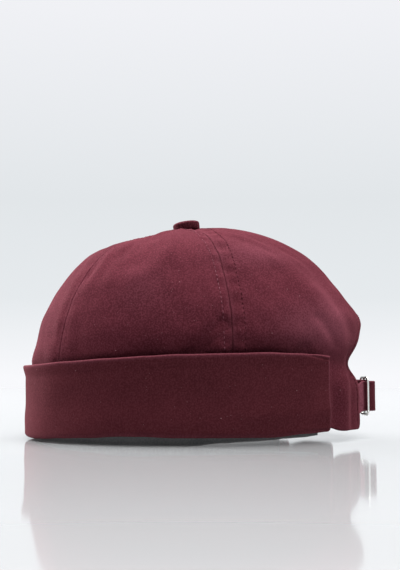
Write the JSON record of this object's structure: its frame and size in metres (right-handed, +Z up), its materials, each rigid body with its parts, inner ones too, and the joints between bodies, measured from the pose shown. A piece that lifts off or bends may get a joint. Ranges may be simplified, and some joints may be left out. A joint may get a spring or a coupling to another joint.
{
  "type": "docker beanie",
  "caption": "Brimless burgundy cotton cap with a panelled crown, a wide turned-up cuff, a covered top button and a strap with a slide buckle over a back opening.",
  "frame": {"origin": "on the resting surface, under the middle of the cap's box", "axes": "-Y to the front of the cap, +Y to the strap, +X to the wearer's left, +Z up"},
  "size_m": [0.1738, 0.2128, 0.1337],
  "materials": {
    "crown_twill": "matte cotton twill with a faint sheen",
    "cuff_twill": "matte cotton twill, two layers",
    "sweatband_cotton": "matte dark cotton",
    "button_twill": "matte cotton twill over a metal shell",
    "strap_twill": "matte cotton twill, stitched edges",
    "buckle_nickel": "polished nickel plate"
  },
  "bodies": {
    "root": {"front_panel": "crown_twill", "left_side_panel": "crown_twill", "right_side_panel": "crown_twill", "left_back_panel": "crown_twill", "right_back_panel": "crown_twill", "cuff": "cuff_twill", "sweatband": "sweatband_cotton", "top_button": "button_twill", "buckle_tab": "strap_twill", "long_strap": "strap_twill", "slide_buckle": "buckle_nickel"}
  },
  "joints": []
}
